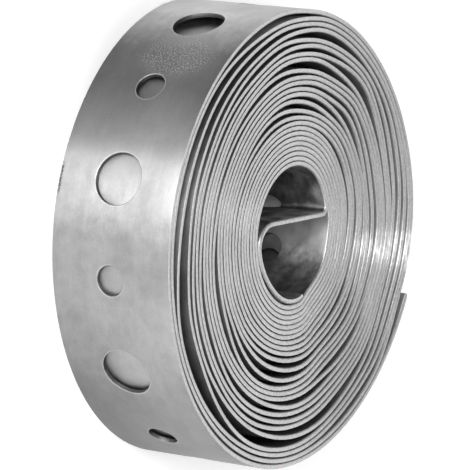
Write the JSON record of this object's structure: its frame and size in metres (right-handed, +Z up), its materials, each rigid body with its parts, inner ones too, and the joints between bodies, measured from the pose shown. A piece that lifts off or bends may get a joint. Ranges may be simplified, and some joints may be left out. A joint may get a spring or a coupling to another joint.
{
  "type": "roll of perforated metal strap",
  "caption": "Hand-wound roll of flat galvanised steel strap with alternating large and small holes, its inner end hooked across the bore.",
  "frame": {"origin": "on the floor below the middle of the roll, which lies on its end", "axes": "+Z up, along the axis of the roll; X and Y across it, with the hook of the inner end towards +X and the outer end of the strap between +X and -Y"},
  "size_m": [0.0672, 0.0678, 0.02],
  "materials": {
    "galvanised_steel": "satin"
  },
  "bodies": {
    "root": {"strap_coil": "galvanised_steel"}
  },
  "joints": []
}
